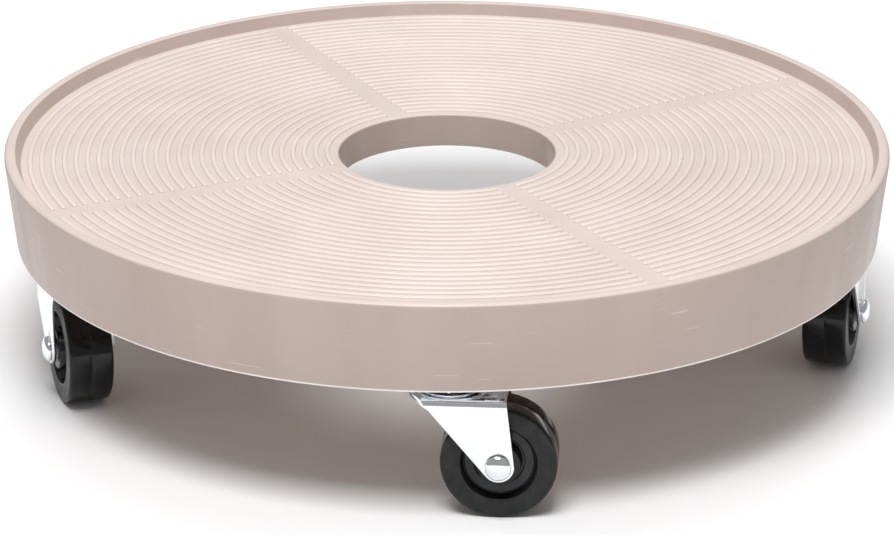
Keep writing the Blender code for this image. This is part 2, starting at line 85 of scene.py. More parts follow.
class Bench:
    """Modelling moves that the pieces share. Each works on one object at a time."""

    @staticmethod
    def clear() -> None:
        """Leave edit mode and deselect everything."""
        active = bpy.context.view_layer.objects.active
        if active is not None and active.mode != "OBJECT":
            bpy.ops.object.mode_set(mode="OBJECT")
        bpy.ops.object.select_all(action="DESELECT")

    @staticmethod
    def pick(thing: Thing) -> None:
        """Make one object the only selected and active one.

        Args:
            thing: The object.
        """
        Bench.clear()
        thing.select_set(True)
        bpy.context.view_layer.objects.active = thing

    @staticmethod
    def rename(thing: Thing, name: str) -> None:
        """Give an object and its mesh one name."""
        thing.name = name
        thing.data.name = name

    @staticmethod
    def merge_points(threshold: float) -> None:
        """Merge the points that coincide, in edit mode, and leave everything selected.

        Args:
            threshold: The distance under which points merge.
        """
        bpy.ops.mesh.select_all(action="SELECT")
        bpy.ops.mesh.remove_doubles(threshold=threshold)
        bpy.ops.mesh.select_all(action="SELECT")

    @staticmethod
    def trace(name: str, points: list[Point], closed: bool = True) -> Thing:
        """Draw a chain of edges by extruding one vertex from point to point.

        Args:
            name: The new object's name.
            points: The places that the chain passes.
            closed: Whether the chain returns to its first point.

        Returns:
            The object, left in edit mode with everything selected.
        """
        Bench.clear()
        bpy.ops.mesh.primitive_plane_add(size=MM, location=points[0])
        thing = bpy.context.object
        Bench.rename(thing, name)
        bpy.ops.object.transform_apply(location=True, rotation=False, scale=False)
        bpy.ops.object.mode_set(mode="EDIT")
        bpy.ops.mesh.select_all(action="SELECT")
        bpy.ops.mesh.merge(type="CENTER")
        stops = points[1:] + (points[:1] if closed else [])
        here = Vector(points[0])
        for stop in stops:
            step = Vector(stop) - here
            bpy.ops.mesh.extrude_vertices_move(TRANSFORM_OT_translate={"value": tuple(step)})
            here = Vector(stop)
        Bench.merge_points(MERGE_FRESH)
        return thing

    @staticmethod
    def turn(name: str, profile: list[Flat], steps: int) -> Thing:
        """Spin a profile of (radius, height) points round Z into a closed body.

        A profile that starts and ends on the axis is left open there, and closes at its poles.

        Args:
            name: The new object's name.
            profile: The section's points, in order.
            steps: Faces round the body.

        Returns:
            The body, with its faces outwards.
        """
        off_axis = profile[0][0] > 0.0
        thing = Bench.trace(name, [(radius, 0.0, height) for radius, height in profile], off_axis)
        bpy.ops.mesh.spin(steps=steps, dupli=False, angle=math.tau, center=(0.0, 0.0, 0.0), axis=UP)
        Bench.merge_points(MERGE_FRESH)
        bpy.ops.mesh.normals_make_consistent(inside=False)
        Bench.clear()
        return thing

    @staticmethod
    def bar(name: str, radius: float, low: float, high: float, steps: int) -> Thing:
        """Make a round bar about Z, between two heights, to add or to cut with."""
        return Bench.turn(name, [(0.0, low), (radius, low), (radius, high), (0.0, high)], steps)

    @staticmethod
    def slab(name: str, outline: list[Point], push: Point) -> Thing:
        """Fill a closed outline and push it out into a solid.

        Args:
            name: The new object's name.
            outline: The outline's corners, in order.
            push: How far and which way the face is pushed.

        Returns:
            The solid, with its faces outwards.
        """
        thing = Bench.trace(name, outline)
        bpy.ops.mesh.edge_face_add()
        bpy.ops.mesh.extrude_region_move(TRANSFORM_OT_translate={"value": push})
        bpy.ops.mesh.select_all(action="SELECT")
        bpy.ops.mesh.normals_make_consistent(inside=False)
        Bench.clear()
        return thing

    @staticmethod
    def combine(thing: Thing, how: Cut, tools: list[Thing]) -> None:
        """Combine a body with tool bodies, which are then thrown away.

        Args:
            thing: The body that is kept.
            how: Whether the tools are added, taken away or shared.
            tools: The tool bodies.
        """
        group = bpy.data.collections.new(f"{thing.name}_{how.name.lower()}")
        bpy.context.scene.collection.children.link(group)
        for tool in tools:
            group.objects.link(tool)
        modifier = thing.modifiers.new("combine", "BOOLEAN")
        modifier.operation = how.value
        modifier.solver = "EXACT"
        modifier.operand_type = "COLLECTION"
        modifier.collection = group
        Bench.pick(thing)
        bpy.ops.object.modifier_apply(modifier=modifier.name)
        for tool in tools:
            bpy.data.objects.remove(tool, do_unlink=True)
        bpy.data.collections.remove(group)

    @staticmethod
    def soften(thing: Thing, width: float, segments: int = 2, limit: float = 30.0) -> None:
        """Round a body's edges.

        Args:
            thing: The body.
            width: The rounding's width.
            segments: Faces across the rounding.
            limit: The turn in degrees above which an edge is rounded.
        """
        modifier = thing.modifiers.new("soften", "BEVEL")
        modifier.width = width
        modifier.segments = segments
        modifier.limit_method = "ANGLE"
        modifier.angle_limit = math.radians(limit)
        Bench.pick(thing)
        bpy.ops.object.modifier_apply(modifier=modifier.name)

    @staticmethod
    def weld(thing: Thing) -> None:
        """Merge points that coincide, and turn the faces outwards again.

        Args:
            thing: The body.
        """
        Bench.pick(thing)
        bpy.ops.object.mode_set(mode="EDIT")
        Bench.merge_points(MERGE_FINISHED)
        bpy.ops.mesh.normals_make_consistent(inside=False)
        Bench.clear()

    @staticmethod
    def smooth(thing: Thing, limit: float = 32.0) -> None:
        """Shade a piece smooth, apart from its sharp edges.

        Args:
            thing: The piece.
            limit: The turn in degrees above which an edge stays sharp.
        """
        Bench.pick(thing)
        bpy.ops.object.shade_smooth_by_angle(angle=math.radians(limit))
        Bench.clear()

    @staticmethod
    def join(name: str, things: list[Thing]) -> Thing:
        """Put several objects' meshes into the first of them.

        Args:
            name: The joined object's name.
            things: The objects, the kept one first.

        Returns:
            The joined object.
        """
        Bench.clear()
        for thing in things:
            thing.select_set(True)
        bpy.context.view_layer.objects.active = things[0]
        bpy.ops.object.join()
        Bench.rename(things[0], name)
        Bench.clear()
        return things[0]

    @staticmethod
    def copy(pattern: Thing, name: str, place: Matrix) -> Thing:
        """Copy a pattern piece with its own mesh, and put its place into that mesh.

        Args:
            pattern: The piece to copy.
            name: The copy's name.
            place: Where the copy stands.

        Returns:
            The copy, with its object at the origin.
        """
        thing = pattern.copy()
        thing.data = pattern.data.copy()
        Bench.rename(thing, name)
        bpy.context.scene.collection.objects.link(thing)
        thing.data.transform(place)
        return thing


def arc(centre: Flat, radius: float, start: float, end: float, steps: int) -> list[Flat]:
    """Points on a circle from one angle to another.

    Args:
        centre: The circle's centre.
        radius: Its radius.
        start: The first angle, in degrees.
        end: The last angle, in degrees.
        steps: Chords between the two.

    Returns:
        The points, with both ends.
    """
    turn = [math.radians(start + (end - start) * index / steps) for index in range(steps + 1)]
    return [(centre[0] + radius * math.cos(a), centre[1] + radius * math.sin(a)) for a in turn]


def rounded_rectangle(depth: float, length: float, corner: float) -> list[Flat]:
    """The outline of a rectangle with rounded corners, about the origin.

    Args:
        depth: Its size along X.
        length: Its size along Y.
        corner: The corners' radius.

    Returns:
        The outline's points, in order.
    """
    points: list[Flat] = []
    for index, (side_x, side_y) in enumerate(CORNERS):
        centre = (side_x * (depth / 2 - corner), side_y * (length / 2 - corner))
        points += arc(centre, corner, 90.0 * index, 90.0 * index + 90.0, 6)
    return points


# ---- Finishes ------------------------------------------------------------------------------------
@dataclass(frozen=True)
class Finish:
    """A procedural surface: colour that wanders a little, roughness that varies, and fine relief."""

    name: str
    slot: str
    colour: Point
    colour_low: Point
    roughness: tuple[float, float]
    metallic: float = 0.0
    cloud_scale: float = 40.0
    stretch: Point = (1.0, 1.0, 1.0)
    grain_scale: float = 900.0
    grain_height: float = 0.02
    speck_scale: float = 0.0
    speck_stretch: Point = (1.0, 1.0, 1.0)
    speck_colour: Point = (0.5, 0.5, 0.5)
    speck_share: float = 0.0
    specular: float = 0.5
    cloud_detail: float = 5.0
    wear_detail: float = 3.0
    grain_detail: float = 2.0
    speck_detail: float = 1.0
    cloud_to_wear: float = 2.6
    cloud_range: Flat = (0.35, 0.65)
    wear_range: Flat = (0.3, 0.7)
    speck_edge: float = 0.04
    relief_strength: float = 0.35

    def build(self) -> bpy.types.Material:
        """Make the material's node tree.

        Returns:
            The finished material.
        """
        material = bpy.data.materials.new(self.name)
        material.use_nodes = True
        tree = material.node_tree
        shader = tree.nodes["Principled BSDF"]
        shader.inputs["Metallic"].default_value = self.metallic
        shader.inputs["Specular IOR Level"].default_value = self.specular
        place = tree.nodes.new("ShaderNodeTexCoord")
        mapping = tree.nodes.new("ShaderNodeMapping")
        mapping.inputs["Scale"].default_value = self.stretch
        tree.links.new(place.outputs["Object"], mapping.inputs["Vector"])

        cloud = self._noise(tree, mapping.outputs["Vector"], self.cloud_scale, self.cloud_detail)
        ramp = self._ramp(tree, cloud.outputs["Fac"], self.colour_low, self.colour)
        colour = ramp.outputs["Color"]
        if self.speck_share > 0.0:
            colour = self._specks(tree, place.outputs["Object"], colour)
        tree.links.new(colour, shader.inputs["Base Color"])

        wear_scale = self.cloud_scale * self.cloud_to_wear
        wear = self._noise(tree, mapping.outputs["Vector"], wear_scale, self.wear_detail)
        rough = self._spread(tree, wear.outputs["Fac"], self.wear_range, self.roughness)
        tree.links.new(rough, shader.inputs["Roughness"])

        grain = self._noise(tree, place.outputs["Object"], self.grain_scale, self.grain_detail)
        relief = tree.nodes.new("ShaderNodeBump")
        relief.inputs["Strength"].default_value = self.relief_strength
        relief.inputs["Distance"].default_value = self.grain_height * MM
        tree.links.new(grain.outputs["Fac"], relief.inputs["Height"])
        tree.links.new(relief.outputs["Normal"], shader.inputs["Normal"])
        return material

    @staticmethod
    def _noise(tree: bpy.types.NodeTree, vector: Socket, scale: float, detail: float) -> bpy.types.Node:
        """Add a noise texture on a vector.

        Args:
            tree: The material's nodes.
            vector: Where the noise is read.
            scale: Its scale, per metre.
            detail: Its octaves.

        Returns:
            The noise node.
        """
        noise = tree.nodes.new("ShaderNodeTexNoise")
        noise.inputs["Scale"].default_value = scale
        noise.inputs["Detail"].default_value = detail
        tree.links.new(vector, noise.inputs["Vector"])
        return noise

    @staticmethod
    def _spread(tree: bpy.types.NodeTree, value: Socket, source: Flat, target: Flat) -> Socket:
        """Map a value from one range to another.

        Args:
            tree: The material's nodes.
            value: The value to map.
            source: The ends of the range that it comes in.
            target: The ends of the range that it goes to.

        Returns:
            The mapped value.
        """
        spread = tree.nodes.new("ShaderNodeMapRange")
        for label, ends in (("From", source), ("To", target)):
            spread.inputs[f"{label} Min"].default_value = ends[0]
            spread.inputs[f"{label} Max"].default_value = ends[1]
        tree.links.new(value, spread.inputs["Value"])
        return spread.outputs["Result"]

    def _ramp(self, tree: bpy.types.NodeTree, factor: Socket, low: Point, high: Point) -> bpy.types.Node:
        """Add a ramp from one colour to another over the middle of a noise's range.

        Args:
            tree: The material's nodes.
            factor: The noise's value.
            low: The colour for low values.
            high: The colour for high values.

        Returns:
            The ramp node.
        """
        ramp = tree.nodes.new("ShaderNodeValToRGB")
        for stop, position, colour in zip(ramp.color_ramp.elements, self.cloud_range, (low, high)):
            stop.position = position
            stop.color = (*colour, 1.0)
        tree.links.new(factor, ramp.inputs["Fac"])
        return ramp

    def _specks(self, tree: bpy.types.NodeTree, vector: Socket, colour: Socket) -> Socket:
        """Scatter small specks of another colour over a colour.

        Args:
            tree: The material's nodes.
            vector: Where the specks are read.
            colour: The colour under them.

        Returns:
            The specked colour.
        """
        mapping = tree.nodes.new("ShaderNodeMapping")
        mapping.inputs["Scale"].default_value = self.speck_stretch
        tree.links.new(vector, mapping.inputs["Vector"])
        noise = self._noise(tree, mapping.outputs["Vector"], self.speck_scale, self.speck_detail)
        start = 1.0 - self.speck_share
        mask = self._spread(tree, noise.outputs["Fac"], (start, start + self.speck_edge), (0.0, 1.0))
        mix = tree.nodes.new("ShaderNodeMix")
        mix.data_type = "RGBA"
        mix.inputs["B"].default_value = (*self.speck_colour, 1.0)
        tree.links.new(mask, mix.inputs["Factor"])
        tree.links.new(colour, mix.inputs["A"])
        return mix.outputs["Result"]


RESIN_TRAY = Finish(
    "tray_resin", "resin", (0.65, 0.55, 0.505), (0.615, 0.515, 0.47), (0.38, 0.52), cloud_scale=22.0,
    grain_scale=1400.0, grain_height=0.05)
# Painted highlight: the rings' tops are the tray's resin in a lighter colour, for the light that falls on
# them.
RESIN_RING_HIGHLIGHT = Finish(
    "ring_resin", "resin", (0.74, 0.645, 0.60), (0.70, 0.60, 0.555), (0.34, 0.48), cloud_scale=22.0,
    grain_scale=1400.0, grain_height=0.04)
# Painted shade: the skirt, the hole's wall and the lip's inner wall are the tray's own resin, given a darker
# colour for the shade on upright faces. Its pale horizontal streaks are the resin's own flow lines and
# scratches.
RESIN_WALL_SHADE_AND_STREAKS = Finish(
    "skirt_resin", "resin", (0.505, 0.405, 0.360), (0.47, 0.370, 0.327), (0.30, 0.46),
    cloud_scale=34.0, stretch=(1.0, 1.0, 0.06), grain_scale=1100.0, grain_height=0.05,
    speck_scale=36.0, speck_stretch=(1.0, 1.0, 22.0), speck_colour=(0.60, 0.51, 0.465),
    speck_share=0.265)
# Painted highlight: a near-white band round the skirt's lower edge, for the light that the rounded edge
# catches from the floor.
RESIN_EDGE_HIGHLIGHT = Finish(
    "edge_resin", "resin", (0.97, 0.93, 0.90), (0.90, 0.84, 0.80), (0.26, 0.38), cloud_scale=60.0,
    grain_scale=1100.0, grain_height=0.03)
RESIN_UNDER = Finish(
    "under_resin", "resin", (0.68, 0.545, 0.475), (0.64, 0.51, 0.44), (0.5, 0.64), cloud_scale=30.0)
ZINC_SHEET = Finish(
    "zinc_sheet", "zinc_steel", (0.93, 0.955, 0.975), (0.86, 0.89, 0.92), (0.09, 0.20), metallic=1.0,
    cloud_scale=140.0, grain_scale=2400.0, grain_height=0.006)
ZINC_PLATE = Finish(
    "zinc_plate", "zinc_steel", (0.88, 0.91, 0.94), (0.76, 0.80, 0.85), (0.12, 0.26), metallic=1.0,
    cloud_scale=110.0, grain_scale=2000.0, grain_height=0.006)
RIVET_STEEL = Finish(
    "rivet_steel", "zinc_steel", (0.92, 0.94, 0.96), (0.82, 0.85, 0.88), (0.06, 0.14), metallic=1.0,
    cloud_scale=300.0, grain_scale=3000.0, grain_height=0.008)
SCREW_STEEL = Finish(
    "screw_zinc", "screw_steel", (0.82, 0.83, 0.85), (0.70, 0.71, 0.74), (0.20, 0.36), metallic=1.0,
    cloud_scale=400.0, grain_scale=3000.0, grain_height=0.008)
SLEEVE_STEEL = Finish(
    "sleeve_plain", "sleeve_steel", (0.55, 0.55, 0.56), (0.42, 0.42, 0.43), (0.28, 0.44), metallic=1.0,
    cloud_scale=400.0, grain_scale=2600.0, grain_height=0.01)
TREAD_POLYMER = Finish(
    "tread_polymer", "black_polymer", (0.010, 0.010, 0.0105), (0.006, 0.006, 0.0065), (0.06, 0.15),
    cloud_scale=90.0, grain_scale=1500.0, grain_height=0.01, specular=0.34)
FACE_POLYMER = Finish(
    "face_polymer", "black_polymer", (0.026, 0.027, 0.026), (0.016, 0.017, 0.017), (0.26, 0.40),
    specular=0.22, cloud_scale=220.0, grain_scale=2200.0, grain_height=0.06, speck_scale=800.0,
    speck_colour=(0.35, 0.35, 0.34), speck_share=0.22)
WEB_POLYMER = Finish(
    "web_polymer", "black_polymer", (0.034, 0.036, 0.040), (0.022, 0.024, 0.027), (0.10, 0.20),
    cloud_scale=160.0, grain_scale=2200.0, grain_height=0.02, specular=0.34)


class Paints:
    """The materials, each made once."""

    _made: dict[str, bpy.types.Material] = {}

    @classmethod
    def of(cls, finish: Finish) -> bpy.types.Material:
        """Return a finish's material, made at its first use."""
        if finish.name not in cls._made:
            cls._made[finish.name] = finish.build()
        return cls._made[finish.name]

    @classmethod
    def fill(cls, thing: Thing, *finishes: Finish) -> None:
        """Give a piece its finishes, in the order of its material numbers."""
        thing.data.materials.clear()
        for finish in finishes:
            thing.data.materials.append(cls.of(finish))

    @classmethod
    def dress(cls, thing: Thing, finish: Finish) -> None:
        """Give a whole piece one finish."""
        cls.fill(thing, finish)


# ---- The disc ------------------------------------------------------------------------------------
class DeckPaint(IntEnum):
    """The material numbers of the disc's finishes."""

    TRAY = 0
    # Painted shade on the skirt and the upright walls.
    SKIRT = 1
    UNDER = 2
    # Painted highlight on the skirt's lower edge.
    EDGE = 3
    # Painted highlight on the rings' tops.
    RING = 4


@dataclass(frozen=True)
class Disc:
    """The ringed tray with its lip, skirt and collar."""

    radius: float = 203.2 * MM
    height: float = 42.0 * MM
    lip_height: float = 5.9 * MM
    lip_width: float = 5.2 * MM
    lip_draft: float = 2.0 * MM
    outer_edge: float = 2.2 * MM
    skirt_taper: float = 4.5 * MM
    skirt_wall: float = 2.6 * MM
    tray_thickness: float = 3.5 * MM
    hole_radius: float = 49.8 * MM
    hole_edge: float = 1.0 * MM
    collar_wall: float = 3.0 * MM
    collar_height: float = 15.8 * MM
    ring_count: int = 27
    first_ring: float = 55.3 * MM
    ring_pitch: float = 5.24 * MM
    ring_half_width: float = 1.2 * MM
    ring_height: float = 0.95 * MM
    band_half_width: float = 4.6 * MM
    plain_columns: int = 44
    rim_edge: float = 0.9 * MM
    small_edge: float = 0.7 * MM
    rim_line: float = 1.0 * MM
    rim_flare: float = 0.1 * MM
    narrowest: float = 0.3
    slack: float = 1.01

    @property
    def top(self) -> float:
        """Height of the lip's top above the floor."""
        return CAD_BOUNDS[1][2]

    @property
    def tray(self) -> float:
        """Height of the tray's floor between the rings."""
        return self.top - self.lip_height

    @property
    def under(self) -> float:
        """Height of the tray's underside."""
        return self.tray - self.tray_thickness

    @property
    def foot(self) -> float:
        """Height of the skirt's lower edge."""
        return self.top - self.height

    def build(self) -> None:
        """Model the disc and set it on the platform."""
        deck = Bench.turn("ringed_deck", self._profile(), 4 * self._columns())
        self._shape_rings(deck)
        Bench.smooth(deck, 38.0)
        self._dress_deck(deck)
        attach(deck, "platform")
        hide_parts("deck")
        LOG.info("deck: %d faces", len(deck.data.polygons))

    def _columns(self) -> int:
        """Columns of faces in a quarter: the plain ones, and those that round a ring's two ends."""
        return self.plain_columns + 2 * len(self._end_stations()) + 1

    def _end_stations(self) -> list[float]:
        """Distances from a ring's end at which its rounded end has a row of points."""
        half = self.ring_half_width
        return [0.0, 0.12 * half, 0.45 * half, half]

    def _ring_section(self, centre: float) -> list[Flat]:
        """Draw one ring's raised section.

        Args:
            centre: The ring's radius.

        Returns:
            Points as (radius, height), from its inner foot to its outer foot.
        """
        rise = ((0.0, 1.0), (0.5, 0.88), (0.82, 0.46), (1.0, 0.0))
        shape = [(-across, up) for across, up in reversed(rise)] + list(rise[1:])
        half = self.ring_half_width
        return [(centre + across * half, self.tray + up * self.ring_height) for across, up in shape]

    def _profile(self) -> list[Flat]:
        """Draw the section of the whole disc.

        Returns:
            Points as (radius, height), from the collar over the tray and the lip to the skirt and back.
        """
        lip_top_inner = self.radius - self.lip_width
        lip_foot = lip_top_inner - self.lip_draft
        low_outer = self.radius - self.skirt_taper
        low_inner = low_outer - self.skirt_wall
        slope = self.skirt_taper / (self.height - self.outer_edge)
        high_inner = low_inner + slope * (self.under - self.foot)
        collar_outer = self.hole_radius + self.collar_wall
        collar_foot = self.tray - self.collar_height
        edge = self.small_edge
        points = [(self.hole_radius, collar_foot + edge)]
        rim = (self.hole_radius + self.hole_edge, self.tray - self.hole_edge)
        points += arc(rim, self.hole_edge, 180.0, 90.0, 4)
        for index in range(self.ring_count):
            points += self._ring_section(self.first_ring + index * self.ring_pitch)
        points += arc((lip_foot - edge, self.tray + edge), edge, -90.0, -15.0, 3)
        points += arc((lip_top_inner + edge, self.top - edge), edge, 165.0, 90.0, 3)
        brow = (self.radius - self.outer_edge, self.top - self.outer_edge)
        points += arc(brow, self.outer_edge, 90.0, 0.0, 7)
        points += [(low_outer + self.rim_flare, self.foot + self.rim_line)]
        points += arc((low_outer - edge, self.foot + edge), edge, 0.0, -90.0, 4)
        points += arc((low_inner + edge, self.foot + edge), edge, -90.0, -180.0, 3)
        points += [(high_inner, self.under), (collar_outer, self.under), (collar_outer, collar_foot + edge)]
        points += [(collar_outer - edge, collar_foot), (self.hole_radius + edge, collar_foot)]
        return points

    def _shape_rings(self, deck: Thing) -> None:
        """Stop the rings at four plain bands, with rounded ends, by moving the deck's own points.

        Args:
            deck: The disc as it was spun, with its columns evenly spaced.
        """
        columns = self._columns()
        stations = self._end_stations()
        points = np.zeros(len(deck.data.vertices) * 3)
        deck.data.vertices.foreach_get("co", points)
        points = points.reshape(-1, 3)
        radius = np.hypot(points[:, 0], points[:, 1])
        around = 4 * columns
        spun = np.arctan2(points[:, 1], points[:, 0]) / (math.tau / around)
        quarter, column = np.divmod(np.rint(spun).astype(int) % around, columns)

        last_ring = self.first_ring + (self.ring_count - 1) * self.ring_pitch
        reach = np.clip(radius, self.first_ring, last_ring)
        band = np.arcsin(self.band_half_width / reach)
        starts = np.array([math.radians(angle) for angle in BAND_ANGLES])
        spans = np.array([math.radians((after - before) % 360.0)
                          for before, after in zip(BAND_ANGLES, BAND_ANGLES[1:] + BAND_ANGLES[:1])])
        count = len(stations)
        angle = starts[quarter]
        inset = np.zeros(len(points))
        near = (column >= 1) & (column <= count)
        far = column >= columns - count
        middle = ~near & ~far & (column > 0)
        inset[near] = np.take(stations, column[near] - 1)
        inset[far] = np.take(stations, columns - 1 - column[far])
        angle = angle + np.where(near, band + inset / reach, 0.0)
        angle = angle + np.where(far, spans[quarter] - band - inset / reach, 0.0)
        rank = (column - count) / (columns - 2 * count)
        begin = band + stations[-1] / reach
        angle = angle + np.where(middle, begin + rank * (spans[quarter] - 2 * begin), 0.0)

        half = self.ring_half_width
        full = np.sqrt(np.clip(1.0 - ((half - np.minimum(inset, half)) / half) ** 2, 0.0, 1.0))
        full = np.where(middle, 1.0, np.where(column == 0, 0.0, full))
        ring = np.rint((radius - self.first_ring) / self.ring_pitch)
        centre = self.first_ring + ring * self.ring_pitch
        on_top = np.abs(points[:, 2] - self.tray) < self.ring_height * self.slack
        beside = np.abs(radius - centre) < half * self.slack
        part_of_ring = on_top & (ring >= 0) & (ring < self.ring_count) & beside
        height = np.where(part_of_ring, self.tray + (points[:, 2] - self.tray) * full, points[:, 2])
        narrowed = centre + (radius - centre) * np.maximum(full, self.narrowest)
        radius = np.where(part_of_ring, narrowed, radius)
        moved = np.stack([radius * np.cos(angle), radius * np.sin(angle), height], axis=1)
        deck.data.vertices.foreach_set("co", moved.ravel())
        deck.data.update()

    def _dress_deck(self, deck: Thing) -> None:
        """Give the tray and underside their resin, and paint shade on the skirt and walls and highlights on
        the lower edge and ring tops.

        Args:
            deck: The disc.
        """
        Paints.fill(deck, RESIN_TRAY, RESIN_WALL_SHADE_AND_STREAKS, RESIN_UNDER, RESIN_EDGE_HIGHLIGHT, RESIN_RING_HIGHLIGHT)
        steep = 0.5
        skirt_line = self.radius - self.lip_width * 0.4
        skirt_start = self.radius - self.skirt_taper - self.lip_width * 0.1
        edge_highlight_start = self.radius - self.skirt_taper - MM
        lip_start = self.radius - 2 * self.lip_width
        hole_end = self.hole_radius + self.hole_edge * 0.3
        ring_low = self.tray + self.ring_height * 0.35
        ring_high = self.tray + self.ring_height * 1.2
        for face in deck.data.polygons:
            reach = math.hypot(face.center.x, face.center.y)
            height = face.center.z
            facing = face.normal.z
            upright = abs(facing) < 0.6
            if facing < -steep or (reach < skirt_line and height < self.under):
                face.material_index = DeckPaint.UNDER
            # Painted shade: upright faces of the skirt, the hole's wall and the lip's inner wall take the
            # darker copy of the resin.
            if -steep < facing < steep and reach > skirt_start:
                face.material_index = DeckPaint.SKIRT
            if upright and height < self.tray and reach < hole_end:
                face.material_index = DeckPaint.SKIRT
            if upright and height > self.tray and reach > lip_start:
                face.material_index = DeckPaint.SKIRT
            # Painted highlight: the thin band along the skirt's lower edge takes the near-white resin.
            if height < self.foot + self.rim_edge and reach > edge_highlight_start:
                face.material_index = DeckPaint.EDGE
            # Painted highlight: the rings' tops take the lighter copy of the resin.
            if ring_low < height < ring_high and reach < lip_start:
                face.material_index = DeckPaint.RING


# ---- The underside -------------------------------------------------------------------------------
@dataclass(frozen=True)
class CasterPlace:
    """Where a caster stands: its name, its angle round the disc, and the way that it trails."""

    name: str
    around: float
    heading: float


PLACES: tuple[CasterPlace, ...] = (
    CasterPlace("front", -89.5, -3.7),
    CasterPlace("right", -10.5, 76.5),
    CasterPlace("rear_right", 56.833, -75.0),
    CasterPlace("rear_left", -235.833, -130.0),
    CasterPlace("left", -168.5, -73.1),
)


@dataclass(frozen=True)
class Underside:
    """The ribs, caster seats and screw bosses moulded under the tray."""

    rib: float = 2.6 * MM
    rib_drop: float = 15.0 * MM
    rib_rise: float = 4.0 * MM
    ring_drop: float = 11.0 * MM
    ring_radius: float = 108.0 * MM
    root: float = 1.5 * MM
    seat: float = 64.5 * MM
    seat_depth: float = 33.0 * MM
    seat_length: float = 50.0 * MM
    boss_radius: float = 4.5 * MM
    pilot_radius: float = 2.2 * MM
    pilot_top: float = 77.2 * MM
    rib_start: float = 51.3 * MM
    rib_end: float = 200.0 * MM

    def build(self, disc: Disc, caster: "Caster") -> None:
        """Model all of the underside as one piece that is sunk a little into the tray.

        Args:
            disc: The disc that the ribs stand under.
            caster: The caster that the seats are for.
        """
        under = disc.under
        root = under + self.root
        bodies = []
        angles = sorted(place.around % 360.0 for place in PLACES)
        gaps = [(low + high) / 2 for low, high in zip(angles, angles[1:] + [angles[0] + 360.0])]
        for angle in angles + gaps:
            low = under - self.rib_drop
            side = [(self.rib_start, root), (self.rib_start, low + self.rib_rise),
                    (self.rib_start + 3 * self.rib_rise, low), (self.rib_end, low), (self.rib_end, root)]
            rib = Bench.slab("rib", [(x, -self.rib / 2, z) for x, z in side], (0.0, self.rib, 0.0))
            rib.data.transform(Matrix.Rotation(math.radians(angle), 4, "Z"))
            bodies.append(rib)
        inner = self.ring_radius - self.rib / 2
        outer = self.ring_radius + self.rib / 2
        low = under - self.ring_drop
        bodies.append(Bench.turn("ring_rib", [(inner, low), (outer, low), (outer, root), (inner, root)], 96))
        pilots = []
        for place in PLACES:
            seat = caster.seat_frame(place)
            half_depth = (self.seat_depth - self.rib) / 2
            half_length = (self.seat_length - self.rib) / 2
            for side in (1, -1):
                across = self._wall((side * half_depth, 0.0), (self.rib, self.seat_length), root)
                along = self._wall((0.0, side * half_length), (self.seat_depth, self.rib), root)
                for wall in (across, along):
                    wall.data.transform(seat)
                    bodies.append(wall)
            for x, y in caster.screw_places():
                post = Bench.bar("boss", self.boss_radius, self.seat, root, 28)
                post.data.transform(seat @ Matrix.Translation((x, y, 0.0)))
                bodies.append(post)
                hole = Bench.bar("pilot", self.pilot_radius, self.seat - MM, self.pilot_top, 20)
                hole.data.transform(seat @ Matrix.Translation((x, y, 0.0)))
                pilots.append(hole)
        whole = bodies[0]
        Bench.combine(whole, Cut.ADD, bodies[1:])
        Bench.combine(whole, Cut.TAKE, pilots)
        Bench.weld(whole)
        Bench.rename(whole, "underside_ribs")
        Bench.smooth(whole)
        Paints.dress(whole, RESIN_UNDER)
        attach(whole, "platform")
        LOG.info("underside: %d faces", len(whole.data.polygons))

    def _wall(self, middle: Flat, size: Flat, high: float) -> Thing:
        """Make one upright wall that a mounting plate bears on.

        Args:
            middle: Its middle in the seat's frame.
            size: Its depth and length.
            high: The height of its top.

        Returns:
            The wall, in the seat's frame.
        """
        x, y = middle
        depth, length = size
        outline = [(x + a * depth / 2, y + b * length / 2, self.seat) for a, b in CORNERS]
        return Bench.slab("wall", outline, (0.0, 0.0, high - self.seat))


# ---- Casters -------------------------------------------------------------------------------------
class WheelPaint(IntEnum):
    """The material numbers of a wheel's finishes."""

    TREAD = 0
    FACE = 1
    WEB = 2


